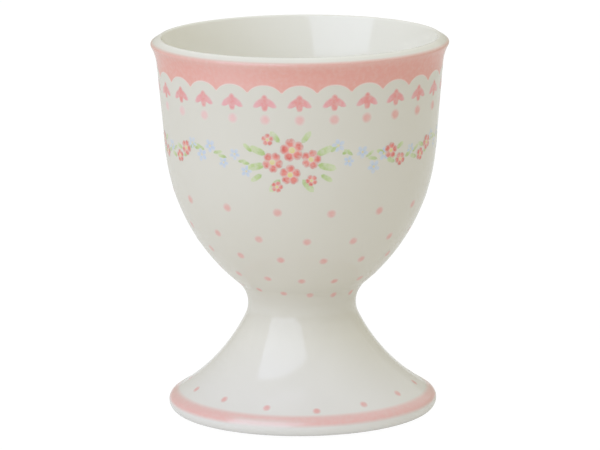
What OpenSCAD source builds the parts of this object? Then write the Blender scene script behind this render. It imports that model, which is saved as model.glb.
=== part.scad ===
/* [Overall] */
// Height of the egg cup, floor to the top of the lip
cup_h = 65.6; // [64:0.2:70]
// Diameter over the lip
rim_d = 50.8; // [50:0.2:54]

/* [Bowl] */
// Diameter of the bowl where its round side runs into the straight wall
wall_d = 46.3; // [45.8:0.1:47.4]
// Height at which the round side runs into the straight wall
wall_z = 46.2; // [45:0.1:48]
// Outward lean of the straight wall, in degrees
wall_lean = 4.8; // [4:0.1:5.6]
// Radius of the bowl's round side
bowl_r = 33.9; // [33:0.1:35.5]
// Thickness of the bowl's wall
wall_t = 2.2; // [1.8:0.1:2.6]
// Height of the floor inside the bowl
floor_z = 22.8; // [22:0.1:25]

/* [Lip] */
// Radius of the rounded lip
lip_r = 0.95; // [0.85:0.05:1.15]
// Radius of the small outward sweep under the lip
lip_sweep_r = 11; // [6:0.5:14]
// Radius of the slow outward sweep inside the lip
inner_sweep_r = 55; // [40:5:70]

/* [Waist] */
// Diameter of the waist at its narrowest
waist_d = 18.6; // [18:0.2:20]
// Radius of the hollow curve round the waist
waist_r = 5; // [4:0.1:6]

/* [Foot] */
// Diameter over the foot's rolled edge
foot_d = 46.2; // [45:0.1:48]
// Radius of the rolled edge
edge_r = 1.5; // [1.2:0.1:1.8]
// Height of the middle of the rolled edge
edge_z = 2.2; // [2:0.1:2.8]
// Radius of the foot's trumpet-shaped flare
flare_r = 32.5; // [30:0.5:36]
// Thickness of the foot's wall
foot_t = 2.4; // [2:0.1:2.8]
// Height of the hollow under the foot
hollow_h = 17; // [15:0.1:17.5]

/* [Standing ring] */
// Outer diameter of the ring that the cup stands on
ring_d = 38; // [37:0.2:39]
// Width of the ring
ring_w = 2; // [1.6:0.1:2.4]
// Rounding of the ring's two corners
ring_round = 0.35; // [0.2:0.05:0.5]
// Radius of the fillet between the ring and the hollow
hollow_fillet = 1.5; // [1:0.1:2]

/* [Join] */
// Thickness of the slip that sticks the bowl to the foot
slip_t = 0.5; // [0.3:0.1:0.8]
// Half height of the groove round the join, filled with slip
groove_h = 1.2; // [0.8:0.1:1.5]
// Depth of that groove
groove_depth = 1; // [0.6:0.1:1.4]

/* [Smoothness] */
// Sides of a full turn
turn_sides = 72; // [60:12:120]
// How far a curve may stand off the flat between two of its points
curve_flat = 0.02; // [0.01:0.005:0.04]
// Largest turn between two points of a curve, in degrees
curve_step = 15; // [10:1:20]

/* [Hidden] */

porcelain = [0.93, 0.92, 0.89];
bare_clay = [0.88, 0.86, 0.81];

// Points of an arc about a centre, from one angle to another, closer together the rounder it is
function arc(centre, radius, from, to) =
    let (steps = ceil(abs(to - from) / min(curve_step, 2 * acos(1 - curve_flat / radius))))
    [for (i = [0 : steps])
        let (a = from + (to - from) * i / steps)
        centre + radius * [cos(a), sin(a)]];

// Angle of the line from one point to another
function bearing(from, to) = atan2(to[1] - from[1], to[0] - from[0]);

// The centre of a circle that meets two others, where the distances to their centres are known
function meeting(c0, d0, c1, d1) =
    let (gap = norm(c1 - c0),
         along = (d0 * d0 - d1 * d1 + gap * gap) / (2 * gap),
         aside = sqrt(d0 * d0 - along * along),
         way = (c1 - c0) / gap)
    c0 + along * way + aside * [way[1], -way[0]];

// The centre of a sweep beside the wall, from a point level with its foot and the distance to the lip's centre
function sweep_centre(base, reach) =
    let (along = (lip_c - base) * wall_up,
         aside = (lip_c - base) * wall_out)
    base + (along - sqrt(reach * reach - aside * aside)) * wall_up;

// The outline is one chain of arcs, each running smoothly into the next.
// Every point is [radius, height], and every centre follows from the sizes above.

// Bowl: a round side under a straight wall that leans outwards
wall_out = [cos(wall_lean), -sin(wall_lean)];
wall_up = [sin(wall_lean), cos(wall_lean)];
wall_foot = [wall_d / 2, wall_z];
bowl_c = wall_foot - bowl_r * wall_out;

// Waist: a hollow curve that touches the bowl's round side
waist_cr = waist_d / 2 + waist_r;
waist_c = [waist_cr, bowl_c[1] - sqrt(pow(bowl_r + waist_r, 2) - pow(waist_cr - bowl_c[0], 2))];

// Foot: a flare that touches the waist's curve above and the rolled edge below
edge_c = [foot_d / 2 - edge_r, edge_z];
flare_c = meeting(edge_c, flare_r + edge_r, waist_c, flare_r - waist_r);

// Lip: a round that a small sweep outside and a slow one inside join to the two faces of the wall
lip_c = [rim_d / 2 - lip_r, cup_h - lip_r];
sweep_c = sweep_centre(wall_foot + lip_sweep_r * wall_out, lip_sweep_r + lip_r);
inner_sweep_c = sweep_centre(wall_foot + (inner_sweep_r - wall_t) * wall_out, inner_sweep_r - lip_r);

// Inside of the bowl: a wall and a side parallel to the outer ones, and a round floor
side_r = bowl_r - wall_t;
well_a = 90 - 2 * atan((bowl_c[1] - side_r - floor_z) / bowl_c[0]);
well_r = side_r + bowl_c[0] / cos(well_a);
well_c = [0, floor_z + well_r];

// Inside of the foot: a surface parallel to the flare, closed by a dome, with a fillet to the ring
under_r = flare_r + foot_t;
dome_a = 2 * atan((hollow_h - flare_c[1] + under_r) / flare_c[0]);
dome_r = flare_c[0] / sin(dome_a) - under_r;
dome_c = [0, hollow_h - dome_r];
ring_out = ring_d / 2;
ring_in = ring_out - ring_w;
fillet_cr = ring_in - hollow_fillet;
fillet_c = [fillet_cr, flare_c[1] - sqrt(pow(under_r + hollow_fillet, 2) - pow(flare_c[0] - fillet_cr, 2))];

// Underside of the rolled edge: a straight line from the ring that touches the edge's round
edge_gap = norm(edge_c - [ring_out, 0]);
edge_tangent = bearing([ring_out, 0], edge_c) - asin(edge_r / edge_gap);

// Join: a layer of slip across the waist, in a groove that the bowl and the foot share
groove_a = asin(groove_h / waist_r);
seat_r = waist_d / 2 - groove_depth;
seat_low = waist_c[1] - slip_t / 2;
seat_high = waist_c[1] + slip_t / 2;

// Angles at which one arc of the outline hands over to the next
edge_to_flare = bearing(edge_c, flare_c);
flare_to_waist = bearing(flare_c, waist_c) + 360;
waist_to_bowl = bearing(waist_c, bowl_c);
sweep_to_lip = bearing(sweep_c, lip_c);
inner_sweep_to_lip = bearing(inner_sweep_c, lip_c);

function bowl_outside() = concat(
    arc(waist_c, waist_r, 180 - groove_a, waist_to_bowl),
    arc(bowl_c, bowl_r, waist_to_bowl - 180, -wall_lean),
    arc(sweep_c, lip_sweep_r, 180 - wall_lean, sweep_to_lip));

function bowl_inside() = concat(
    arc(lip_c, lip_r, sweep_to_lip - 180, 0),
    arc(lip_c, lip_r, 0, 90),
    arc(lip_c, lip_r, 90, inner_sweep_to_lip),
    arc(inner_sweep_c, inner_sweep_r, inner_sweep_to_lip, 180 - wall_lean),
    arc(bowl_c, side_r, -wall_lean, -well_a),
    arc(well_c, well_r, -well_a, -90));

function foot_outside() = concat(
    arc([ring_out - ring_round, ring_round], ring_round, -90, edge_tangent - 90),
    arc(edge_c, edge_r, edge_tangent - 90, 0),
    arc(edge_c, edge_r, 0, edge_to_flare),
    arc(flare_c, flare_r, edge_to_flare + 180, flare_to_waist),
    arc(waist_c, waist_r, flare_to_waist, 180 + groove_a));

function foot_inside() = concat(
    arc(dome_c, dome_r, 90, 90 - dome_a),
    arc(flare_c, under_r, 270 - dome_a, bearing(flare_c, fillet_c) + 360),
    arc(fillet_c, hollow_fillet, bearing(flare_c, fillet_c) + 180, 0),
    arc([ring_in + ring_round, ring_round], ring_round, 180, 270));

// The cup that holds the egg, turned and fettled, with a flat seat under it
module bowl() {
    color(porcelain)
    rotate_extrude($fn = turn_sides)
    polygon(concat([[0, seat_high], [seat_r, seat_high]], bowl_outside(), bowl_inside()));
}

// The hollow trumpet foot with its rolled edge and standing ring
module foot() {
    color(porcelain)
    rotate_extrude($fn = turn_sides)
    polygon(concat(foot_outside(), [[seat_r, seat_low], [0, seat_low]], foot_inside()));
}

// The slip between the two, sponged smooth round the waist
module luting_slip() {
    color(bare_clay)
    rotate_extrude($fn = turn_sides)
    polygon(concat(
        [[0, seat_low], [seat_r, seat_low]],
        arc(waist_c, waist_r, 180 + groove_a, 180 - groove_a),
        [[seat_r, seat_high], [0, seat_high]]));
}

bowl();
foot();
luting_slip();
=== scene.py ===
import bisect
import math
import random
import bmesh
import bpy
from mathutils import Matrix, Vector


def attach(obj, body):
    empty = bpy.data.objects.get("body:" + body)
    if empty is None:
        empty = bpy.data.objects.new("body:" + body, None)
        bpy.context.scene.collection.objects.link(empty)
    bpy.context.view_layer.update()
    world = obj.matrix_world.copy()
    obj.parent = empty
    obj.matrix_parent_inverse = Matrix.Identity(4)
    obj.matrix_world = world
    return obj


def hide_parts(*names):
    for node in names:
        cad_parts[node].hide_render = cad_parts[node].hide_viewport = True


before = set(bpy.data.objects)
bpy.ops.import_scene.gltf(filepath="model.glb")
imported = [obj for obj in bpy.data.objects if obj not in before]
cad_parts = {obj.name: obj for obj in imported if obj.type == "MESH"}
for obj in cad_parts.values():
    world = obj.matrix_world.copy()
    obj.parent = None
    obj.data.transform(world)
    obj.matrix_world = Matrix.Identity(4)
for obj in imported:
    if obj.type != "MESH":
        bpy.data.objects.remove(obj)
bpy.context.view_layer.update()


# The foot
# The real foot is a hollow porcelain trumpet with a rolled edge and a low ring to stand on.
# It is turned on a wheel, so its outline is a chain of arcs that run smoothly into one another.
# Sizes are in millimetres and angles in degrees. Every point of an outline is (radius, height).

MM = 0.001
FOOT_WIDTH = 46.2
EDGE_R = 1.5
EDGE_Z = 2.2
FLARE_R = 32.5
FOOT_WALL = 2.4
HOLLOW_HEIGHT = 17.0
RING_OUT = 19.0
RING_IN = 17.0
RING_ROUND = 0.35
HOLLOW_FILLET = 1.5
WAIST_WIDTH = 18.6
WAIST_R = 5.0
GROOVE_HALF = 1.2
GROOVE_DEPTH = 1.0
SLIP_THICK = 0.5
BOWL_WIDTH = 46.3
BOWL_Z = 46.2
BOWL_R = 33.9
WALL_LEAN = 4.8

# degrees between two points of an arc, fewer where it is wide and its outline shows
ARC_STEP = 2.0
FLARE_STEP = 1.0
EDGE_STEP = 4.0
EDGE_UNDER_STEP = 6.0
DOME_STEP = 4.0
FILLET_STEP = 8.0
RING_STEP = 20.0
# beside a seam one very short step keeps the gloss smooth from piece to piece
SEAM_STEP = 0.2


def bearing(start, end):
    """Angle of the line from one point to another."""
    return math.degrees(math.atan2(end[1] - start[1], end[0] - start[0]))


def arc(centre, radius, start, end, step=ARC_STEP):
    """Points of an arc about a centre, from one angle to another."""
    count = max(2, math.ceil(abs(end - start) / step))
    turns = [math.radians(start + (end - start) * i / count) for i in range(count + 1)]
    return [(centre[0] + radius * math.cos(a), centre[1] + radius * math.sin(a)) for a in turns]


def touching(c0, d0, c1, d1):
    """Centre of a circle that touches two others, from its distances to their centres."""
    gap = math.dist(c0, c1)
    along = (d0 * d0 - d1 * d1 + gap * gap) / (2 * gap)
    aside = math.sqrt(d0 * d0 - along * along)
    way = ((c1[0] - c0[0]) / gap, (c1[1] - c0[1]) / gap)
    return (c0[0] + along * way[0] + aside * way[1], c0[1] + along * way[1] - aside * way[0])


wall_side = (math.cos(math.radians(WALL_LEAN)), -math.sin(math.radians(WALL_LEAN)))
wall_up = (-wall_side[1], wall_side[0])
bowl_c = (BOWL_WIDTH / 2 - BOWL_R * wall_side[0], BOWL_Z - BOWL_R * wall_side[1])
waist_x = WAIST_WIDTH / 2 + WAIST_R
waist_c = (waist_x, bowl_c[1] - math.sqrt((BOWL_R + WAIST_R) ** 2 - (waist_x - bowl_c[0]) ** 2))
edge_c = (FOOT_WIDTH / 2 - EDGE_R, EDGE_Z)
flare_c = touching(edge_c, FLARE_R + EDGE_R, waist_c, FLARE_R - WAIST_R)

under_r = FLARE_R + FOOT_WALL
dome_angle = 2 * math.degrees(math.atan((HOLLOW_HEIGHT - flare_c[1] + under_r) / flare_c[0]))
dome_r = flare_c[0] / math.sin(math.radians(dome_angle)) - under_r
dome_c = (0, HOLLOW_HEIGHT - dome_r)
fillet_x = RING_IN - HOLLOW_FILLET
fillet_c = (fillet_x, flare_c[1] - math.sqrt((under_r + HOLLOW_FILLET) ** 2 - (flare_c[0] - fillet_x) ** 2))
under_turn = bearing((RING_OUT, 0), edge_c) - math.degrees(
    math.asin(EDGE_R / math.dist(edge_c, (RING_OUT, 0))))

groove_angle = math.degrees(math.asin(GROOVE_HALF / WAIST_R))
seam_below, seam_above = 180 + groove_angle, 180 - groove_angle
seat_r = WAIST_WIDTH / 2 - GROOVE_DEPTH
seat_low = waist_c[1] - SLIP_THICK / 2
seat_high = waist_c[1] + SLIP_THICK / 2
edge_to_flare = bearing(edge_c, flare_c)
flare_to_waist = bearing(flare_c, waist_c) + 360


def waist_arc(*angles):
    """The waist's hollow curve from each angle to the next, as one line."""
    points = arc(waist_c, WAIST_R, angles[0], angles[1])
    for start, end in zip(angles[1:], angles[2:]):
        points += arc(waist_c, WAIST_R, start, end)[1:]
    return points


foot_outside = (
    arc((RING_OUT - RING_ROUND, RING_ROUND), RING_ROUND, -90, under_turn - 90, RING_STEP)
    + arc(edge_c, EDGE_R, under_turn - 90, 0, EDGE_UNDER_STEP)
    + arc(edge_c, EDGE_R, 0, edge_to_flare, EDGE_STEP)[1:]
    + arc(flare_c, FLARE_R, edge_to_flare + 180, flare_to_waist, FLARE_STEP)[1:]
    + waist_arc(flare_to_waist, seam_below - SEAM_STEP, seam_below)[1:])
foot_inside = (
    arc(dome_c, dome_r, 90, 90 - dome_angle, DOME_STEP)
    + arc(flare_c, under_r, 270 - dome_angle, bearing(flare_c, fillet_c) + 360)[1:]
    + arc(fillet_c, HOLLOW_FILLET, bearing(flare_c, fillet_c) + 180, 0, FILLET_STEP)[1:]
    + arc((RING_IN + RING_ROUND, RING_ROUND), RING_ROUND, 180, 270, RING_STEP))


def srgb(red, green, blue):
    """A colour as it looks on a screen, 0 to 255, in the linear numbers that a shader takes."""
    def linear(c):
        c /= 255
        return c / 12.92 if c <= 0.04045 else ((c + 0.055) / 1.055) ** 2.4
    return (linear(red), linear(green), linear(blue), 1.0)


PORCELAIN_COOL = srgb(223, 219, 208)
PORCELAIN_WARM = srgb(219, 214, 200)
# painted light: the whiter porcelain that the inside, the lip and the foot are painted towards
PORCELAIN_PAINTED_LIGHT = srgb(246, 244, 235)
# painted cool light: the cooler, lighter porcelain that the foot is painted towards low down
PORCELAIN_FOOT_PAINTED_COOL = srgb(232, 229, 223)
BARE_CLAY = srgb(214, 205, 190)
BARE_ROUGHNESS = 0.75
BARE_UP_TO = 0.12
GLAZED_FROM = 0.30
CLOUD_SCALE = 45
CLOUD_DETAIL = 4
GLAZE_INDEX = 1.6
GLAZE_ROUGHNESS = (0.07, 0.12)
GRAIN_SCALE = 700
GRAIN_DETAIL = 3
WAVER_SCALE = 90
WAVER_DETAIL = 1.5
WAVER_STRENGTH = 0.12
WAVER_DEPTH = 0.3

# a mix node's sockets go by number, because several of them share a name
MIX_FACTOR = 0
COLOUR_LOW, COLOUR_HIGH, COLOUR_OUT = 6, 7, 2
NUMBER_LOW, NUMBER_HIGH, NUMBER_OUT = 2, 3, 0


def link(material, source, target):
    """Joins one node's output to another's input."""
    material.node_tree.links.new(source, target)


def add_node(material, kind, **settings):
    """A new node of a material, with its settings."""
    node = material.node_tree.nodes.new(kind)
    for name, value in settings.items():
        setattr(node, name, value)
    return node


def attribute(material, name):
    """What each point of the mesh carries under a name."""
    return add_node(material, "ShaderNodeAttribute", attribute_name=name).outputs["Fac"]


def noise(material, place, scale, detail=2.0):
    """A cloudy pattern that stays in its place on the piece."""
    node = add_node(material, "ShaderNodeTexNoise")
    node.inputs["Scale"].default_value = scale
    node.inputs["Detail"].default_value = detail
    link(material, place, node.inputs["Vector"])
    return node.outputs["Fac"]


def ranged(material, value, low, high, start=0.0, end=1.0, **settings):
    """A value that goes from low to high while the given one goes from start to end."""
    node = add_node(material, "ShaderNodeMapRange", **settings)
    for socket, number in (("From Min", start), ("From Max", end), ("To Min", low), ("To Max", high)):
        node.inputs[socket].default_value = number
    link(material, value, node.inputs["Value"])
    return node.outputs["Result"]


def two_colours(material, factor, low, high):
    """A colour that goes from low to high as the factor goes from 0 to 1."""
    mix = add_node(material, "ShaderNodeMix", data_type="RGBA")
    for socket, value in ((mix.inputs[COLOUR_LOW], low), (mix.inputs[COLOUR_HIGH], high)):
        if isinstance(value, tuple):
            socket.default_value = value
        else:
            link(material, value, socket)
    link(material, factor, mix.inputs[MIX_FACTOR])
    return mix.outputs[COLOUR_OUT]


def glossy_material(name):
    """A material whose surface is the cup's clear glaze, for any colour under it."""
    material = bpy.data.materials.new(name)
    material.use_nodes = True
    shader = material.node_tree.nodes["Principled BSDF"]
    shader.inputs["IOR"].default_value = GLAZE_INDEX
    place = add_node(material, "ShaderNodeTexCoord").outputs["Object"]
    # the glaze pools and thins a little, so a reflection in it wavers
    bump = add_node(material, "ShaderNodeBump")
    bump.inputs["Strength"].default_value = WAVER_STRENGTH
    bump.inputs["Distance"].default_value = WAVER_DEPTH * MM
    link(material, noise(material, place, WAVER_SCALE, WAVER_DETAIL), bump.inputs["Height"])
    link(material, bump.outputs["Normal"], shader.inputs["Normal"])
    # fine unevenness of the gloss
    gloss = ranged(material, noise(material, place, GRAIN_SCALE, GRAIN_DETAIL), *GLAZE_ROUGHNESS)
    return material, shader, place, gloss


def glazed_porcelain():
    """Warm white porcelain under clear glaze, bare where the ring stands on the shelf of the kiln."""
    material, shader, place, gloss = glossy_material("glazed_porcelain")
    cloud = noise(material, place, CLOUD_SCALE, CLOUD_DETAIL)
    outside = two_colours(material, cloud, PORCELAIN_WARM, PORCELAIN_COOL)
    # painted light: inside the bowl, on the lip and on the foot the porcelain is painted whiter, for light
    # that falls there
    white = two_colours(material, attribute(material, "clear"), outside, PORCELAIN_PAINTED_LIGHT)
    # painted cool light: low on the foot the porcelain is painted cooler and lighter, for the cool light that
    # falls there
    white = two_colours(material, attribute(material, "painted_cool_light"), white, PORCELAIN_FOOT_PAINTED_COOL)
    split = add_node(material, "ShaderNodeSeparateXYZ")
    link(material, place, split.inputs["Vector"])
    bare = ranged(material, split.outputs["Z"], 0.0, 1.0, GLAZED_FROM * MM, BARE_UP_TO * MM,
                  interpolation_type="SMOOTHSTEP")
    link(material, two_colours(material, bare, white, BARE_CLAY), shader.inputs["Base Color"])
    rough = add_node(material, "ShaderNodeMix", data_type="FLOAT")
    rough.inputs[NUMBER_HIGH].default_value = BARE_ROUGHNESS
    link(material, bare, rough.inputs[MIX_FACTOR])
    link(material, gloss, rough.inputs[NUMBER_LOW])
    link(material, rough.outputs[NUMBER_OUT], shader.inputs["Roughness"])
    return material


porcelain = glazed_porcelain()
TURN_STEPS = 192
POLE_GAP = 0.00001
SHARP_FROM = 40


def turn(name, outline, whiteness, painted_cool_shares=()):
    """Spins an outline that starts and ends on the axis into a closed body.

    Each of its points has a share of the painted light, and may have one of the painted cool light.
    """
    bm = bmesh.new()
    clear = bm.verts.layers.float.new("clear")
    painted_cool_light = bm.verts.layers.float.new("painted_cool_light")
    line = [bm.verts.new((radius * MM, 0, height * MM)) for radius, height in outline]
    for vert, share in zip(line, whiteness):
        vert[clear] = share
    for vert, share in zip(line, painted_cool_shares):
        vert[painted_cool_light] = share
    chain = [bm.edges.new(pair) for pair in zip(line, line[1:])]
    bmesh.ops.spin(bm, geom=line + chain, axis=(0, 0, 1), cent=(0, 0, 0), angle=math.tau,
                   steps=TURN_STEPS, use_merge=True)
    bmesh.ops.remove_doubles(bm, verts=bm.verts, dist=POLE_GAP * MM)
    bmesh.ops.recalc_face_normals(bm, faces=bm.faces)
    for face in bm.faces:
        face.smooth = True
    for edge in bm.edges:
        edge.smooth = edge.calc_face_angle(0) < math.radians(SHARP_FROM)
    mesh = bpy.data.meshes.new(name)
    bm.to_mesh(mesh)
    bm.free()
    mesh.materials.append(porcelain)
    piece = bpy.data.objects.new(name, mesh)
    bpy.context.scene.collection.objects.link(piece)
    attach(piece, "root")
    return piece


# share of the painted light on the foot and on the join, and where one fades into the other
FOOT_PAINTED_LIGHT = 0.38
JOINT_PAINTED_LIGHT = 0.15
PAINTED_LIGHT_FADE_Z = 14.5
PAINTED_LIGHT_FADE = 4
# painted cool light, low on the foot: height above which there is none of it, and how far below that it is
# full
PAINTED_COOL_Z = 15
PAINTED_COOL_DEPTH = 9


def part_of_one(value):
    """The value, held between 0 and 1."""
    return min(1.0, max(0.0, value))


foot_line = foot_inside + foot_outside + [(seat_r, seat_low), (0, seat_low)]
foot_painted_light = [FOOT_PAINTED_LIGHT + (JOINT_PAINTED_LIGHT - FOOT_PAINTED_LIGHT) * part_of_one((height - PAINTED_LIGHT_FADE_Z) / PAINTED_LIGHT_FADE)
              for _, height in foot_line]
foot_painted_cool = [part_of_one((PAINTED_COOL_Z - height) / PAINTED_COOL_DEPTH) for _, height in foot_line]
foot = turn("glazed_foot", foot_line, foot_painted_light, foot_painted_cool)
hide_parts("foot")


# The slip joint
# Liquid clay sticks the bowl to the foot while both are leather hard.
# It fills the groove round the waist and is sponged to the waist's curve before glazing.

# the painted light fades out upwards: how far above the slip's top it has gone, and over what height
JOINT_FADE_UP = 1
JOINT_FADE = 2

slip_outside = waist_arc(seam_below, seam_below - SEAM_STEP, seam_above + SEAM_STEP, seam_above)
slip_line = [(0, seat_low), (seat_r, seat_low)] + slip_outside + [(seat_r, seat_high), (0, seat_high)]
slip_painted_light = [JOINT_PAINTED_LIGHT * part_of_one((seat_high + JOINT_FADE_UP - height) / JOINT_FADE)
              for _, height in slip_line]
slip_joint = turn("glazed_slip_joint", slip_line, slip_painted_light)
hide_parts("luting_slip")


# The bowl
# The bowl holds the egg. It is porcelain, turned to a wall of about two millimetres.
# Its round side runs into a leaning wall and a small sweep. The lip's top slants outwards and is left white,
# with painted light that whitens it towards its crest.

LIP_WIDTH = 50.8
LIP_Z = 64.27
LIP_R = 0.4
CREST_WIDTH = 47.8
CREST_TOP = 65.4
LIP_SWEEP_R = 8.0
INNER_SWEEP_R = 55.0
BOWL_WALL = 2.2
BOWL_FLOOR = 22.8
SIDE_STEP = 1.0
LIP_STEP = 8.0
INNER_SWEEP_STEP = 0.5
WELL_STEP = 4.0
WALL_ROWS = 12
SLANT_ROWS = 8
# painted light: share of it at the lip's widest line, and how much it gains for each millimetre up the slant
LIP_PAINTED_LIGHT = 0.2
LIP_PAINTED_LIGHT_RISE = 0.6

lip_c = (LIP_WIDTH / 2 - LIP_R, LIP_Z)
crest_c = (CREST_WIDTH / 2, CREST_TOP - LIP_R)
lip_face = bearing(lip_c, crest_c) - 90


def sweep_centre(beside, reach, end):
    """Centre of a sweep that lies beside the wall's face, at the distance reach from the round at its end."""
    base = (BOWL_WIDTH / 2 + beside * wall_side[0], BOWL_Z + beside * wall_side[1])
    gap = (end[0] - base[0], end[1] - base[1])
    along = gap[0] * wall_up[0] + gap[1] * wall_up[1]
    aside = gap[0] * wall_side[0] + gap[1] * wall_side[1]
    rise = along - math.sqrt(reach ** 2 - aside ** 2)
    return (base[0] + rise * wall_up[0], base[1] + rise * wall_up[1])


def straight(start, end, rows):
    """Points between two ends of a straight part of an outline, without the ends."""
    return [(start[0] + (end[0] - start[0]) * i / rows, start[1] + (end[1] - start[1]) * i / rows)
            for i in range(1, rows)]


sweep_c = sweep_centre(LIP_SWEEP_R, LIP_SWEEP_R + LIP_R, lip_c)
sweep_to_lip = bearing(sweep_c, lip_c)
inner_sweep_c = sweep_centre(INNER_SWEEP_R - BOWL_WALL, INNER_SWEEP_R - LIP_R, crest_c)
inner_sweep_to_crest = bearing(inner_sweep_c, crest_c)
waist_to_bowl = bearing(waist_c, bowl_c)

inner_r = BOWL_R - BOWL_WALL
well_angle = 90 - 2 * math.degrees(math.atan((bowl_c[1] - inner_r - BOWL_FLOOR) / bowl_c[0]))
well_r = inner_r + bowl_c[0] / math.cos(math.radians(well_angle))
well_c = (0, BOWL_FLOOR + well_r)

round_side = arc(bowl_c, BOWL_R, waist_to_bowl - 180, -WALL_LEAN, SIDE_STEP)
lip_sweep = arc(sweep_c, LIP_SWEEP_R, 180 - WALL_LEAN, sweep_to_lip)
bowl_outside = (
    waist_arc(seam_above, seam_above - SEAM_STEP, waist_to_bowl)
    + round_side[1:] + straight(round_side[-1], lip_sweep[0], WALL_ROWS) + lip_sweep)
lip_round = (
    arc(lip_c, LIP_R, sweep_to_lip - 180, 0, LIP_STEP)
    + arc(lip_c, LIP_R, 0, lip_face, LIP_STEP)[1:])
lip_crest = (
    arc(crest_c, LIP_R, lip_face, 90, LIP_STEP)
    + arc(crest_c, LIP_R, 90, inner_sweep_to_crest, LIP_STEP)[1:])
lip_slant = straight(lip_round[-1], lip_crest[0], SLANT_ROWS)
lip_over = lip_round[1:] + lip_slant + lip_crest
inner_sweep = arc(inner_sweep_c, INNER_SWEEP_R, inner_sweep_to_crest, 180 - WALL_LEAN, INNER_SWEEP_STEP)
inner_side = arc(bowl_c, inner_r, -WALL_LEAN, -well_angle)
bowl_inside = (
    inner_sweep[1:] + straight(inner_sweep[-1], inner_side[0], WALL_ROWS) + inner_side
    + arc(well_c, well_r, -well_angle, -90, WELL_STEP)[1:])
bowl_line = [(0, seat_high), (seat_r, seat_high)] + bowl_outside
lip_painted_light = [part_of_one(LIP_PAINTED_LIGHT + LIP_PAINTED_LIGHT_RISE * (height - LIP_Z)) if radius > crest_c[0] else 1.0
             for radius, height in lip_over]
bowl = turn("glazed_bowl", bowl_line + lip_over + bowl_inside,
            [0.0] * len(bowl_line) + lip_painted_light + [1.0] * len(bowl_inside))

# the rim has warped a little in the firing: it dips by this share of the way to the front
RIM_DIP = 0.011
DIP_FROM = 60.5
DIP_FULL = 64.0


def rim_rise(depth, height):
    """How far the rim rises towards the back, and dips towards the front, for a place on it."""
    share = part_of_one((height - DIP_FROM) / (DIP_FULL - DIP_FROM))
    return RIM_DIP * depth * share * share * (3 - 2 * share)


for vert in bowl.data.vertices:
    vert.co.z += rim_rise(vert.co.y, vert.co.z / MM)
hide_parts("bowl")


# The pink band under the lip
# A transfer printed in pink ceramic colour, slid on to the glaze and fired into it. Its lower edge is
# cut in twenty-six scallops, and its upper edge thins out just over the lip's widest line.

# how far a print stands up from the glaze, in the middle and at its rim, and how deep it goes in
PRINT_LIFT = 0.03
RIM_LIFT = 0.006
PRINT_ROOT = -0.02
SCALLOPS = 26
SCALLOP_AT = -0.3
BAND_TOP = 64.8
BAND_ROWS = 26
STEPS_PER_SCALLOP = 20
SCALLOP_TOP = 60.45
SCALLOP_POINT = 58.95
SCALLOP_FULLNESS = 2.2
SCALLOP_ROUNDNESS = 0.8
# the deep and the pale shade, and the porcelain that shows where they thin out
BAND_PINK = (srgb(232, 167, 154), srgb(236, 180, 170))
BAND_GROUND = srgb(236, 232, 222)
BAND_SPECKLE = 0.1
# painted reflection: where the pink is painted palest, for the cool sheen of the floor in the glaze, how much
# of the paler shade it has there, and how far that spreads
PAINTED_SHEEN_AT = -28
PAINTED_SHEEN_SHARE = 0.7
PAINTED_SHEEN_SPREAD = 19

skin_line = foot_outside + slip_outside[1:] + bowl_outside[1:] + lip_round[1:] + lip_slant
skin_reach = [0.0]
for before, after in zip(skin_line, skin_line[1:]):
    skin_reach.append(skin_reach[-1] + math.dist(before, after))
skin_height = [height for _, height in skin_line]
NO_LENGTH = 1e-9


def reach_at(height):
    """How far up the outside of the cup, along its surface, a height is."""
    i = min(max(bisect.bisect_right(skin_height, height) - 1, 0), len(skin_line) - 2)
    part = (height - skin_height[i]) / max(skin_height[i + 1] - skin_height[i], NO_LENGTH)
    return skin_reach[i] + part * (skin_reach[i + 1] - skin_reach[i])


def skin_slope(i):
    """Direction of the outline at one of its points."""
    a, b = skin_line[max(i - 1, 0)], skin_line[min(i + 1, len(skin_line) - 1)]
    length = max(math.dist(a, b), NO_LENGTH)
    return ((b[0] - a[0]) / length, (b[1] - a[1]) / length)


def on_skin(azimuth, reach, lift):
    """A place on the cup's outside, the way the surface faces there and the radius there.

    Azimuth 0 is the front, and reach is the way up to it along the surface.
    """
    i = min(max(bisect.bisect_right(skin_reach, reach) - 1, 0), len(skin_line) - 2)
    part = (reach - skin_reach[i]) / max(skin_reach[i + 1] - skin_reach[i], NO_LENGTH)
    low, high = skin_line[i], skin_line[i + 1]
    slope_low, slope_high = skin_slope(i), skin_slope(i + 1)
    radius = low[0] + part * (high[0] - low[0])
    height = low[1] + part * (high[1] - low[1])
    along = [slope_low[k] + part * (slope_high[k] - slope_low[k]) for k in (0, 1)]
    size = math.hypot(*along)
    out, up = along[1] / size, -along[0] / size
    turn_to = math.radians(azimuth)
    facing = Vector((out * math.sin(turn_to), -out * math.cos(turn_to), up))
    spot = Vector((radius * math.sin(turn_to), -radius * math.cos(turn_to), height)) + lift * facing
    spot.z += rim_rise(spot.y, spot.z)
    return spot * MM, facing, radius


def new_print():
    """A mesh with what each print carries: how dense the colour is, which shade, and the surface's facing."""
    bm = bmesh.new()
    return (bm, bm.verts.layers.float.new("ink"), bm.verts.layers.float.new("shade"),
            bm.verts.layers.float_vector.new("facing"))


WASH_SCALE = 900
THIN_SCALE = 1400
THIN_FROM = 0.3
THIN_TO = 0.6


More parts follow.
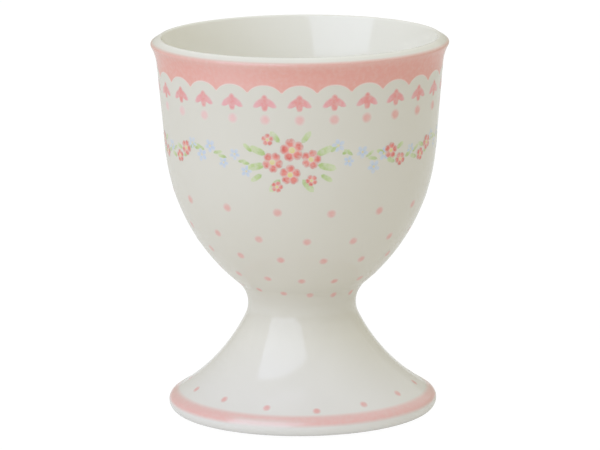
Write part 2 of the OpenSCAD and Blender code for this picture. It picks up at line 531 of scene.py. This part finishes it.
def fired_print(name, deep, pale, speckle=0.25, ground=PORCELAIN_COOL):
    """Ceramic colour fired into the glaze, in a deep and a pale shade, over the ground it thins out to."""
    material, shader, place, gloss = glossy_material(name)
    wash = ranged(material, noise(material, place, WASH_SCALE), -speckle, speckle)
    mottled = add_node(material, "ShaderNodeMath", operation="ADD", use_clamp=True)
    link(material, attribute(material, "shade"), mottled.inputs[0])
    link(material, wash, mottled.inputs[1])
    colour = two_colours(material, mottled.outputs["Value"], deep, pale)
    # the ink lies thinner in some places than in others
    cover = ranged(material, noise(material, place, THIN_SCALE), 1 - speckle, 1.0, THIN_FROM, THIN_TO)
    density = add_node(material, "ShaderNodeMath", operation="MULTIPLY", use_clamp=True)
    link(material, attribute(material, "ink"), density.inputs[0])
    link(material, cover, density.inputs[1])
    link(material, two_colours(material, density.outputs["Value"], ground, colour),
         shader.inputs["Base Color"])
    link(material, gloss, shader.inputs["Roughness"])
    return material


def finish_print(name, bm, material):
    """Makes the print an object whose gloss runs on from the glaze round it."""
    for face in bm.faces:
        face.smooth = True
    mesh = bpy.data.meshes.new(name)
    bm.to_mesh(mesh)
    bm.free()
    facing = [Vector(item.vector) for item in mesh.attributes["facing"].data]
    normals = [Vector() for _ in mesh.loops]
    for face in mesh.polygons:
        for loop in face.loop_indices:
            skin = facing[mesh.loops[loop].vertex_index]
            # the back of the print, which lies in the glaze, faces the other way
            normals[loop] = -skin if face.normal.dot(skin) < -0.5 else skin
    mesh.normals_split_custom_set(normals)
    mesh.attributes.remove(mesh.attributes["facing"])
    mesh.materials.append(material)
    piece = bpy.data.objects.new(name, mesh)
    bpy.context.scene.collection.objects.link(piece)
    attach(piece, "root")
    return piece


# a band is spun as a plain strip first, two millimetres wide, and then laid on the skin
STRIP_WIDTH = 2
# from its top edge a band's colour rises quickly to four fifths, and from there slowly to full
EDGE_START = 0.02
QUICK_RISE = 0.82
SLOW_START = 0.73
SLOW_RISE = 0.09


def printed_band(name, material, top, low_edge, steps, rows, soft_top, soft_low, paleness, thinness):
    """A band round the cup, from the height top down to the height that low_edge gives for an azimuth.

    Its colour thins out over the widths soft_top and soft_low at the two edges.
    """
    bm, ink, shade, facing = new_print()
    depth = bm.verts.layers.float.new("depth")
    level = bm.verts.layers.float.new("level")
    loop = [(part / rows, PRINT_LIFT if 0 < part < rows else RIM_LIFT) for part in range(rows + 1)]
    loop += [(part / rows, PRINT_ROOT) for part in range(rows, -1, -1)]
    line = []
    for part, lift in loop:
        vert = bm.verts.new(on_skin(0, reach_at(top) - part * STRIP_WIDTH, lift)[0])
        vert[depth], vert[level] = part, lift
        line.append(vert)
    chain = [bm.edges.new(pair) for pair in zip(line, line[1:] + line[:1])]
    bmesh.ops.spin(bm, geom=line + chain, axis=(0, 0, 1), cent=(0, 0, 0), angle=math.tau,
                   steps=steps, use_merge=True)
    for vert in bm.verts:
        azimuth = math.degrees(math.atan2(vert.co.x, -vert.co.y))
        high, low = reach_at(top), reach_at(low_edge(azimuth))
        part, width = vert[depth], high - low
        # the rows crowd towards the two edges, where the colour thins out
        part = 0.5 - 0.5 * math.cos(math.pi * part)
        vert.co, vert[facing], _ = on_skin(azimuth, high - part * width, vert[level])
        inwards = (part * width + EDGE_START) / soft_top
        upwards = ((1 - part) * width + EDGE_START) / soft_low
        dense = min(1.0, QUICK_RISE * inwards, SLOW_START + SLOW_RISE * inwards, upwards)
        vert[ink] = dense * (1 - thinness(azimuth, part))
        vert[shade] = paleness(azimuth)
    bmesh.ops.recalc_face_normals(bm, faces=bm.faces)
    return finish_print(name, bm, material)


def scallop_edge(azimuth):
    """Height of the band's lower edge: arcs that meet in points."""
    pitch = 360 / SCALLOPS
    across = ((azimuth - SCALLOP_AT + pitch / 2) % pitch) / (pitch / 2) - 1
    bulge = (1 - abs(across) ** SCALLOP_FULLNESS) ** SCALLOP_ROUNDNESS
    return SCALLOP_POINT + (SCALLOP_TOP - SCALLOP_POINT) * bulge


def front_left_painted_sheen(azimuth):
    """Painted reflection: how much paler the pink is painted for the cool sheen in the glaze, most of all at
    the front left.
    """
    return PAINTED_SHEEN_SHARE * math.exp(-((azimuth - PAINTED_SHEEN_AT) / PAINTED_SHEEN_SPREAD) ** 2)


pink = fired_print("pink_print", *BAND_PINK, BAND_SPECKLE, BAND_GROUND)
printed_band("print_lip_band", pink, BAND_TOP, scallop_edge, steps=SCALLOPS * STEPS_PER_SCALLOP,
             rows=BAND_ROWS, soft_top=0.6, soft_low=0.3, paleness=front_left_painted_sheen,
             thinness=lambda azimuth, part: 0)


# The sprigs and their dots
# Under each scallop the same pink transfer carries a sprig of three leaves on a short stalk.
# A paler dot hangs below each sprig.

SPRIG_Z = 57.75
SPRIG_SIZE = 1.08
SPRIG_PINK = (srgb(230, 146, 138), srgb(234, 172, 174))
SPRIG_DOT_Z = 54.73
SPRIG_DOT_ASKEW = 0.12
SPRIG_DOT_SIZE = 1.95
SPRIG_DOT_PINK = (srgb(230, 172, 162), srgb(236, 198, 194))
# the sprig's radius at each angle above or below its middle, the same on its left and right
SPRIG_EDGE = ((-90, 1.50), (-74, 1.45), (-63, 1.10), (-46, 0.90), (-34, 1.85), (-22, 2.10), (-8, 1.68),
              (19, 1.10), (50, 0.86), (75, 1.12), (90, 1.20))
# share of the paler shade: at the sprig's middle, for each millimetre out, and the painted reflection at the
# front left
SPRIG_PALE = 0.1
SPRIG_SIDE_PALE = 0.42
SPRIG_PAINTED_SHEEN = 0.6
# the same for its dot, at the front and how much more of it at the left
SPRIG_DOT_PALE = 0.55
SPRIG_DOT_LEFT_PALE = 0.9
# share of the paler shade of a mark that has no shading of its own
EVEN_SHADE = 0.3
# the least radius of a mark's full colour, as a share of the mark's own
FULL_INK_LEAST = 0.45


def coin(sides):
    """A flat round blank of radius 1, turned from a line: middle, inner ring and rim above, and its back."""
    bm = bmesh.new()
    line = [bm.verts.new(spot) for spot in ((0, 0, 1), (0.5, 0, 1), (1, 0, 1), (1, 0, 0), (0, 0, 0))]
    chain = [bm.edges.new(pair) for pair in zip(line, line[1:])]
    bmesh.ops.spin(bm, geom=line + chain, axis=(0, 0, 1), cent=(0, 0, 0), angle=math.tau, steps=sides,
                   use_merge=True)
    bmesh.ops.remove_doubles(bm, verts=bm.verts, dist=POLE_GAP)
    bmesh.ops.recalc_face_normals(bm, faces=bm.faces)
    blank = bpy.data.meshes.new("blank")
    bm.to_mesh(blank)
    bm.free()
    return blank


blanks = {}


def stamp(layers, azimuth, height, outline, turn_deg=0, sides=20, size=1.0, soft=0.12, shade_at=None,
          push=(0, 0), lift=PRINT_LIFT, rim_lift=RIM_LIFT, edge_ink=0.25):
    """Prints one mark: outline gives the radius, in millimetres, at each angle round the mark's middle."""
    bm, ink, shade, facing = layers
    if sides not in blanks:
        blanks[sides] = coin(sides)
    before = len(bm.verts)
    bm.from_mesh(blanks[sides])
    bm.verts.ensure_lookup_table()
    reach = reach_at(height)
    _, _, girth = on_skin(azimuth, reach, 0)
    swing = math.radians(turn_deg)
    for vert in bm.verts[before:]:
        ring = math.hypot(vert.co.x, vert.co.y)
        in_middle, on_rim, at_back = ring < 0.1, ring > 0.9, vert.co.z < 0.5
        angle = math.atan2(vert.co.y, vert.co.x)
        rim = outline(math.degrees(angle) % 360) * size
        distance = 0.0 if in_middle else (rim if on_rim else max(rim - soft, FULL_INK_LEAST * rim))
        u, v = distance * math.cos(angle) + push[0], distance * math.sin(angle) + push[1]
        across = u * math.cos(swing) - v * math.sin(swing)
        rise = u * math.sin(swing) + v * math.cos(swing)
        vert[ink] = edge_ink if on_rim else 1.0
        vert[shade] = shade_at(u, v) if shade_at else EVEN_SHADE
        level = PRINT_ROOT if at_back else (rim_lift if on_rim else lift)
        vert.co, vert[facing], _ = on_skin(azimuth + math.degrees(across / girth), reach + rise, level)


def dot(angle):
    """A round mark of one millimetre across."""
    return 0.5


def sprig(angle):
    """Outline of three joined leaves on a short stalk: one up, two drooping to the sides."""
    rise = math.degrees(math.asin(math.sin(math.radians(angle))))
    for (a, low), (b, high) in zip(SPRIG_EDGE, SPRIG_EDGE[1:]):
        if rise <= b:
            return low + (high - low) * (rise - a) / (b - a)
    return SPRIG_EDGE[-1][1]


def sprig_shade(at):
    """Shade over a sprig, which is paler out to its sides, and painted paler all over at the front left for
    the cool sheen in the glaze.
    """
    even = SPRIG_PAINTED_SHEEN * front_left_painted_sheen(math.remainder(at, 360))
    return lambda u, v: SPRIG_PALE + SPRIG_SIDE_PALE * abs(u) + even


def sprig_dot_shade(at):
    """Shade of a sprig's dot, which is paler towards the left."""
    even = part_of_one(SPRIG_DOT_PALE - SPRIG_DOT_LEFT_PALE * math.sin(math.radians(at)))
    return lambda u, v: even


sprigs = new_print()
sprig_dots = new_print()
for n in range(SCALLOPS):
    at = SCALLOP_AT + n * 360 / SCALLOPS
    stamp(sprigs, at, SPRIG_Z, sprig, sides=48, size=SPRIG_SIZE, soft=0.32, edge_ink=0.3,
          shade_at=sprig_shade(at))
    drop = SPRIG_DOT_Z - SPRIG_DOT_ASKEW * math.sin(math.radians(at))
    stamp(sprig_dots, at, drop, dot, size=SPRIG_DOT_SIZE, soft=0.6, edge_ink=0.12,
          shade_at=sprig_dot_shade(at))
finish_print("print_sprigs", sprigs[0], fired_print("sprig_print", *SPRIG_PINK))
finish_print("print_sprig_dots", sprig_dots[0], fired_print("dot_print", *SPRIG_DOT_PINK))


# The rows of dots on the bowl
# Five rows of fifteen pink dots, each row about half a step on from the one above, so that they stand
# in diamonds. The transfer was laid on by hand, a little askew.

DOTS_ROUND = 15
# height, azimuth of the first dot and size of each row
DOT_ROWS = ((38.68, 13.5, 1.76), (33.46, 2.7, 1.66), (29.74, 12.4, 1.62), (25.55, 0.0, 1.56),
            (22.55, 7.5, 1.42))
DOTS_ASKEW = 0.78
DOT_SOFTNESS = 0.4
ROW_PINK = (srgb(228, 173, 164), srgb(232, 186, 178))

bowl_dots = new_print()
for row_z, start, size in DOT_ROWS:
    for n in range(DOTS_ROUND):
        at = start + n * 360 / DOTS_ROUND
        height = row_z - DOTS_ASKEW * math.sin(math.radians(at))
        stamp(bowl_dots, at, height, dot, size=size, soft=DOT_SOFTNESS * size, sides=16, edge_ink=0.15)
finish_print("print_bowl_dots", bowl_dots[0], fired_print("row_dot_print", *ROW_PINK))


# The garland
# A garland of generic flowers goes round the straight wall, printed in thin enamel colours:
# open red flowers with yellow hearts in three groups, and small blue ones with leaves between them.

GARLAND_Z = 48.0
GARLAND_REPEATS = 3
GARLAND_START = -4
WAVE_RISE = 0.9
WAVE_START = 25
PETALS = 5
PETAL_TURN = 72
NOTCH_DEPTH = 0.14
NOTCH_WIDTH = 16
PETAL_TAPER = 0.1
LEAF_POINT = 0.12
LEAF_POINT_SHARPNESS = 2.6
LEAF_GREEN = (srgb(172, 196, 120), srgb(208, 218, 172))
FLOWER_RED = (srgb(210, 70, 62), srgb(238, 150, 138))
HEART_YELLOW = (srgb(226, 204, 126), srgb(228, 214, 160))
FLOWER_BLUE = (srgb(186, 202, 224), srgb(208, 214, 224))
GARLAND_SPECKLE = 0.45
HEART_SPECKLE = 0.3

# parts of an open flower as shares of its width: a petal's length, how far out its middle lies, the width
# over which its colour thins out, and the heart
RED_PETAL = 0.46
RED_PETAL_OUT = 0.27
RED_PETAL_SOFT = 0.11
RED_HEART = 0.27
# its petals pale inwards: share of the paler shade in its middle, and how much that drops over its width
RED_PALE = 1.15
RED_PALE_LOSS = 1.9
# how far it stands over the leaves, each petal over the one before, a petal's middle over its rim, and
# the heart's middle and rim over the petals
RED_OVER_LEAVES = 0.01
PETAL_OVER_PETAL = 0.002
PETAL_OVER_RIM = 0.006
HEART_OVER_PETALS = 0.016
HEART_RIM_OVER_PETALS = 0.012
# the same of a small blue flower: its parts as shares of its radius, with a petal's width, and its layers
BLUE_PETAL = 0.8
BLUE_PETAL_WIDTH = 0.66
BLUE_PETAL_OUT = 0.58
BLUE_HEART = 0.34
BLUE_HEART_SHADE = 0.9
BLUE_PETAL_OVER_PETAL = 0.001
BLUE_HEART_OVER_PETALS = 0.008
BLUE_HEART_RIM_OVER_PETALS = 0.005

# the open group: step to the side in degrees, rise, width and turn of each flower
OPEN_FLOWERS = ((0.5, 1.7, 4.2, 12), (-7.6, -0.4, 3.7, 40), (8.2, 0.1, 3.5, -15), (-0.4, -2.5, 3.7, 70),
                (-9.4, 3.4, 2.2, 0), (8.4, -3.5, 2.1, 25), (-6.0, -4.6, 2.1, 55))
# its leaves on one side, which are mirrored on the other: step, rise, length, width and turn
OPEN_LEAVES = ((10.6, 0.9, 2.9, 1.3, -66), (11.2, -0.9, 3.1, 1.35, -104), (4.8, -3.4, 2.7, 1.3, -140),
               (4.6, 3.0, 2.3, 1.1, -38), (16.2, 1.3, 1.9, 0.9, -50), (12.4, -2.6, 2.2, 1.0, -122))
# pairs of small red flowers between two groups: step, rise and width, and how each turns with its azimuth
PAIRED_FLOWERS = ((44, 0.6, 2.9), (49.5, -1.1, 2.4), (-51, 0.6, 2.8), (-56.5, -1.1, 2.3))
PAIRED_TURN = 7
# the two leaves beside each of them: step, rise and turn, and their length and width
PAIRED_LEAVES = ((-3.2, -0.3, 70), (3.2, 0.2, -60))
PAIRED_LEAF = (1.8, 0.9)
# blue flowers: step, and rise from the waving line, and their least and greatest radius
BLUE_FLOWERS = ((19.5, 1.5), (24, -1.0), (30, 0.9), (35.5, -1.3), (40.5, 1.0), (56, 0.6), (-19, -1.3),
                (-24, 1.2), (-29.5, -0.9), (-36, 1.1), (-41, -0.9), (-46.5, 0.8))
BLUE_RADII = (1.0, 1.25)
# the leaf beside each: its step, lengths, width, turn and how far the turn may stray
BLUE_LEAF_STEP = 1.6
BLUE_LEAF_LENGTHS = (1.4, 2.0)
BLUE_LEAF_WIDTH = 0.7
BLUE_LEAF_TURN = 70
BLUE_LEAF_STRAY = 15
random.seed(26)


def leaf(length, width):
    """Outline of a leaf that is pointed at both ends and lies along the mark's own up direction."""
    def outline(angle):
        a = math.radians(angle)
        lean = abs(math.sin(a)) ** LEAF_POINT_SHARPNESS
        oval = 0.5 / math.sqrt((math.cos(a) / width) ** 2 + (math.sin(a) / length) ** 2)
        return oval * (1 + LEAF_POINT * lean)
    return outline


def petal(length):
    """Outline of a petal that is broad and slightly notched at its outer end."""
    def outline(angle):
        a = math.radians(angle - 90)
        notch = NOTCH_DEPTH * math.exp(-(math.degrees(math.remainder(a, math.tau)) / NOTCH_WIDTH) ** 2)
        return 0.5 * length * (1 - notch) * (1 - PETAL_TAPER + PETAL_TAPER * math.cos(a))
    return outline


def wave(at):
    """Height at an azimuth of the waving line that the small flowers follow."""
    return GARLAND_Z + WAVE_RISE * math.sin(math.radians(at * GARLAND_REPEATS * 2 + WAVE_START))


leaves = new_print()
red_flowers = new_print()
flower_hearts = new_print()
blue_flowers = new_print()


def red_flower(at, height, size, turn_deg):
    """An open flower: five petals, deep at the rim and pale towards a yellow heart."""
    lift = PRINT_LIFT + RED_OVER_LEAVES
    for k in range(PETALS):
        over = PETAL_OVER_PETAL * k
        stamp(red_flowers, at, height, petal(RED_PETAL * size), turn_deg=turn_deg + PETAL_TURN * k,
              push=(0, RED_PETAL_OUT * size), sides=16, soft=RED_PETAL_SOFT * size, lift=lift + over,
              rim_lift=lift - PETAL_OVER_RIM + over, edge_ink=0.4,
              shade_at=lambda u, v: RED_PALE - RED_PALE_LOSS * math.hypot(u, v) / size)
    stamp(flower_hearts, at, height, dot, size=RED_HEART * size, soft=0.12, sides=12,
          lift=lift + HEART_OVER_PETALS, rim_lift=lift + HEART_RIM_OVER_PETALS,
          shade_at=lambda u, v: 0.5 + v)


def green_leaf(at, height, length, width, turn_deg):
    """A leaf that grows from its place in the direction it is turned to, and pales towards its tip."""
    stamp(leaves, at, height, leaf(length, width), turn_deg=turn_deg, push=(0, length / 2), sides=16,
          soft=0.2, shade_at=lambda u, v: v / length)


def blue_flower(at, height, size):
    """A small five-petalled flower."""
    spin_to = random.uniform(0, PETAL_TURN)
    for k in range(PETALS):
        stamp(blue_flowers, at, height, leaf(BLUE_PETAL * size, BLUE_PETAL_WIDTH * size),
              turn_deg=spin_to + PETAL_TURN * k, push=(0, BLUE_PETAL_OUT * size), sides=12, soft=0.16,
              lift=PRINT_LIFT + BLUE_PETAL_OVER_PETAL * k, shade_at=lambda u, v: v / size)
    stamp(flower_hearts, at, height, dot, size=BLUE_HEART * size, soft=0.1, sides=10,
          lift=PRINT_LIFT + BLUE_HEART_OVER_PETALS, rim_lift=PRINT_LIFT + BLUE_HEART_RIM_OVER_PETALS,
          shade_at=lambda u, v: BLUE_HEART_SHADE)


for part in range(GARLAND_REPEATS):
    start = part * 360 / GARLAND_REPEATS + GARLAND_START
    # the open group: flowers of several sizes, heaped to a point below, with leaves to both sides
    for step, rise, size, swing in OPEN_FLOWERS:
        red_flower(start + step, GARLAND_Z + rise, size, swing)
    for side in (-1, 1):
        for step, rise, length, width, swing in OPEN_LEAVES:
            green_leaf(start + side * step, GARLAND_Z + rise, length, width, side * swing)
    for step, rise, size in PAIRED_FLOWERS:
        at = start + step
        red_flower(at, GARLAND_Z + rise, size, at * PAIRED_TURN)
        for aside, up, swing in PAIRED_LEAVES:
            green_leaf(at + aside, GARLAND_Z + rise + up, *PAIRED_LEAF, swing)
    # each blue flower has a leaf beside it, on the waving line
    for step, rise in BLUE_FLOWERS:
        at = start + step
        blue_flower(at, wave(at) + rise, random.uniform(*BLUE_RADII))
        green_leaf(at + BLUE_LEAF_STEP, wave(at), random.uniform(*BLUE_LEAF_LENGTHS), BLUE_LEAF_WIDTH,
                   -math.copysign(BLUE_LEAF_TURN, rise) + random.uniform(-BLUE_LEAF_STRAY, BLUE_LEAF_STRAY))

leaf_print = fired_print("leaf_print", *LEAF_GREEN, GARLAND_SPECKLE)
red_print = fired_print("red_print", *FLOWER_RED, GARLAND_SPECKLE)
heart_print = fired_print("heart_print", *HEART_YELLOW, HEART_SPECKLE)
blue_print = fired_print("blue_print", *FLOWER_BLUE, GARLAND_SPECKLE)
finish_print("print_leaves", leaves[0], leaf_print)
finish_print("print_red_flowers", red_flowers[0], red_print)
finish_print("print_flower_hearts", flower_hearts[0], heart_print)
finish_print("print_blue_flowers", blue_flowers[0], blue_print)


# The foot's pink band and dots
# A band of the same pink goes round the rolled edge, painted on a wheel, and leaves its underside white.
# Fifteen dots stand above it, dabbed on by hand and a little lower at the front.

FOOT_BAND_TOP = 4.2
FOOT_BAND_LOW = 2.3
FOOT_BAND_TILT = 0.1
FOOT_BAND_TILT_AT = 10
FOOT_BAND_ROWS = 16
FOOT_PINK = (srgb(236, 186, 180), srgb(238, 196, 192))
FOOT_SPECKLE = 0.12
# a stretch at the front left where the colour is thinner, and painted paler still as a painted highlight of
# the softbox in the rolled edge: its two ends, how soon each fades, and how thin the colour gets
STREAK_LEFT = -31
STREAK_LEFT_FADE = 1.5
STREAK_RIGHT = -3
STREAK_RIGHT_FADE = 4
STREAK_THIN = 0.5
# how far down the band it begins, and over how much of the band it comes in
STREAK_DOWN = 0.35
STREAK_BLEND = 0.2
FOOT_DOT_Z = 5.4
FOOT_DOT_SIZE = 1.5
FOOT_DOT_START = 6.5
FOOT_DOT_PINK = (srgb(232, 176, 170), srgb(236, 188, 184))
# how far the front dots are dabbed too low, and how narrow that front is
FOOT_DOT_SAG = 0.75
FOOT_DOT_SAG_NARROWNESS = 6
# the dabs stand a little further apart at the sides than in front, and more so on the left
DABS_APART = 3.2
DABS_APART_LEFT = 1.3


def foot_band_low(azimuth):
    """Height of the band's lower edge, which the brush left a little higher on the right."""
    return FOOT_BAND_LOW + FOOT_BAND_TILT * (1 + math.sin(math.radians(azimuth - FOOT_BAND_TILT_AT)))


def thin_stretch_and_painted_highlight(azimuth, part):
    """How thin the colour is: at the front left the lower half is nearly bare, partly thinner colour and
    partly a painted highlight of the softbox.
    """
    from_left = 1 / (1 + math.exp(-(azimuth - STREAK_LEFT) / STREAK_LEFT_FADE))
    from_right = 1 / (1 + math.exp((azimuth - STREAK_RIGHT) / STREAK_RIGHT_FADE))
    return STREAK_THIN * from_left * from_right * part_of_one((part - STREAK_DOWN) / STREAK_BLEND)


# the ground under the foot's thin colour, and under its dots, is the foot's painted cool light
foot_pink = fired_print("foot_pink_print", *FOOT_PINK, FOOT_SPECKLE, PORCELAIN_FOOT_PAINTED_COOL)
printed_band("print_foot_band", foot_pink, FOOT_BAND_TOP, foot_band_low, steps=TURN_STEPS,
             rows=FOOT_BAND_ROWS, soft_top=0.75, soft_low=0.6, paleness=lambda azimuth: 0,
             thinness=thin_stretch_and_painted_highlight)
foot_dots = new_print()
for n in range(DOTS_ROUND):
    at = math.remainder(FOOT_DOT_START + n * 360 / DOTS_ROUND, 360)
    front = max(0.0, math.cos(math.radians(at - FOOT_DOT_START)))
    sag = FOOT_DOT_SAG * front ** FOOT_DOT_SAG_NARROWNESS
    at += (DABS_APART - math.copysign(DABS_APART_LEFT, at)) * math.sin(math.radians(at)) ** 3
    stamp(foot_dots, at, FOOT_DOT_Z - sag, dot, size=FOOT_DOT_SIZE, soft=0.5, sides=16, edge_ink=0.12)
foot_dot_print = fired_print("foot_dot_print", *FOOT_DOT_PINK, ground=PORCELAIN_FOOT_PAINTED_COOL)
finish_print("print_foot_dots", foot_dots[0], foot_dot_print)
for blank in blanks.values():
    bpy.data.meshes.remove(blank)


# The studio
# A white floor, a large cool softbox at the front left, a weaker one behind at the right, a small dim
# tube overhead and warm even light all round. The camera looks down a little from the front.

FLOOR_HALF = 3.0
FLOOR_Z = -0.02
FLOOR_WHITE = (0.94, 0.94, 0.93, 1)
# the floor glows for the camera, which makes it plain white, and hardly at all on to the cup
FLOOR_GLOW = 1.06
GLOW_SEEN = 0.85
GLOW_LEAST = 0.07
AMBIENT_COLOUR = (1.0, 0.975, 0.84, 1)
AMBIENT_STRENGTH = 0.57
BACKDROP_WHITE = (1, 1, 1, 1)
LAMPS_AIM_Z = 0.03

bm = bmesh.new()
bmesh.ops.create_grid(bm, x_segments=1, y_segments=1, size=FLOOR_HALF)
floor_mesh = bpy.data.meshes.new("floor")
bm.to_mesh(floor_mesh)
bm.free()
floor = bpy.data.objects.new("floor", floor_mesh)
bpy.context.scene.collection.objects.link(floor)
floor.location.z = FLOOR_Z * MM
floor_finish = bpy.data.materials.new("floor_white")
floor_finish.use_nodes = True
floor_finish.node_tree.nodes.clear()
diffuse = add_node(floor_finish, "ShaderNodeBsdfDiffuse")
diffuse.inputs["Color"].default_value = FLOOR_WHITE
glow = add_node(floor_finish, "ShaderNodeEmission")
glow.inputs["Strength"].default_value = FLOOR_GLOW
ray = add_node(floor_finish, "ShaderNodeLightPath")
share = add_node(floor_finish, "ShaderNodeMath", operation="MULTIPLY_ADD")
share.inputs[1].default_value = GLOW_SEEN
share.inputs[2].default_value = GLOW_LEAST
link(floor_finish, ray.outputs["Is Camera Ray"], share.inputs[0])
blend = add_node(floor_finish, "ShaderNodeMixShader")
link(floor_finish, share.outputs["Value"], blend.inputs[0])
link(floor_finish, diffuse.outputs["BSDF"], blend.inputs[1])
link(floor_finish, glow.outputs["Emission"], blend.inputs[2])
# from below the floor is clear, so that the underside can be looked at
side = add_node(floor_finish, "ShaderNodeNewGeometry")
see_through = add_node(floor_finish, "ShaderNodeBsdfTransparent")
seen = add_node(floor_finish, "ShaderNodeMixShader")
link(floor_finish, side.outputs["Backfacing"], seen.inputs[0])
link(floor_finish, blend.outputs["Shader"], seen.inputs[1])
link(floor_finish, see_through.outputs["BSDF"], seen.inputs[2])
out = add_node(floor_finish, "ShaderNodeOutputMaterial")
link(floor_finish, seen.outputs["Shader"], out.inputs["Surface"])
floor_mesh.materials.append(floor_finish)

# the camera sees a white backdrop, and the cup gets the warm even light
world = bpy.data.worlds.new("studio")
bpy.context.scene.world = world
world.use_nodes = True
ambient = world.node_tree.nodes["Background"]
ambient.inputs["Color"].default_value = AMBIENT_COLOUR
ambient.inputs["Strength"].default_value = AMBIENT_STRENGTH
backdrop = add_node(world, "ShaderNodeBackground")
backdrop.inputs["Color"].default_value = BACKDROP_WHITE
sky_ray = add_node(world, "ShaderNodeLightPath")
sky_mix = add_node(world, "ShaderNodeMixShader")
link(world, sky_ray.outputs["Is Camera Ray"], sky_mix.inputs[0])
link(world, ambient.outputs["Background"], sky_mix.inputs[1])
link(world, backdrop.outputs["Background"], sky_mix.inputs[2])
link(world, sky_mix.outputs["Shader"], world.node_tree.nodes["World Output"].inputs["Surface"])


def soft_lamp(name, azimuth, elevation, distance, width, height, watts, colour, roll=0):
    """A rectangular lamp that faces the cup, sized in metres and rolled about the way that it faces."""
    lamp = bpy.data.lights.new(name, "AREA")
    lamp.shape = "RECTANGLE"
    lamp.size, lamp.size_y = width, height
    lamp.energy = watts
    lamp.color = colour
    holder = bpy.data.objects.new(name, lamp)
    a, e = math.radians(azimuth), math.radians(elevation)
    away = Vector((math.sin(a) * math.cos(e), -math.cos(a) * math.cos(e), math.sin(e)))
    holder.location = Vector((0, 0, LAMPS_AIM_Z)) + away * distance
    aimed = away.to_track_quat("Z", "Y").to_matrix() @ Matrix.Rotation(math.radians(roll), 3, "Z")
    holder.rotation_euler = aimed.to_euler()
    bpy.context.scene.collection.objects.link(holder)


soft_lamp("main_softbox", azimuth=-39.5, elevation=37.5, distance=1.2, width=1.28, height=1.40, watts=9.2,
          colour=(0.68, 0.76, 1.0), roll=2)
soft_lamp("back_softbox", azimuth=120, elevation=50, distance=1.6, width=2.6, height=2.2, watts=4.2,
          colour=(0.88, 0.95, 1.0))
soft_lamp("ceiling_tube", azimuth=-100, elevation=80, distance=1.2, width=0.03, height=0.42, watts=0.02,
          colour=(1.0, 1.0, 1.0))

# The camera: distance and heights in millimetres, the rest in degrees and in pixels of the picture
DISTANCE = 650.0
LOOK_DOWN = 11.057
LOOK_AT_Z = 33.0
ROLL = 0.494
FOCAL_PIXELS = 3783.18
PICTURE_WIDTH = 600
PICTURE_MIDDLE = (300, 225)
AXIS_IN_PICTURE = (301.30, 222.32)
SENSOR = 36.0

lens = bpy.data.cameras.new("camera")
lens.sensor_width = SENSOR
lens.lens = FOCAL_PIXELS / PICTURE_WIDTH * SENSOR
lens.shift_x = -(AXIS_IN_PICTURE[0] - PICTURE_MIDDLE[0]) / PICTURE_WIDTH
lens.shift_y = -(PICTURE_MIDDLE[1] - AXIS_IN_PICTURE[1]) / PICTURE_WIDTH
camera = bpy.data.objects.new("camera", lens)
down = math.radians(LOOK_DOWN)
camera.location = Vector((0, -DISTANCE * math.cos(down), LOOK_AT_Z + DISTANCE * math.sin(down))) * MM
camera.rotation_mode = "XYZ"
turned = (Vector((0, 0, LOOK_AT_Z)) * MM - camera.location).to_track_quat("-Z", "Y").to_matrix()
rolled = turned @ Matrix.Rotation(math.radians(-ROLL), 3, "Z")
camera.rotation_euler = rolled.to_euler()
bpy.context.scene.collection.objects.link(camera)
bpy.context.scene.camera = camera
bpy.context.scene.view_settings.view_transform = "Standard"
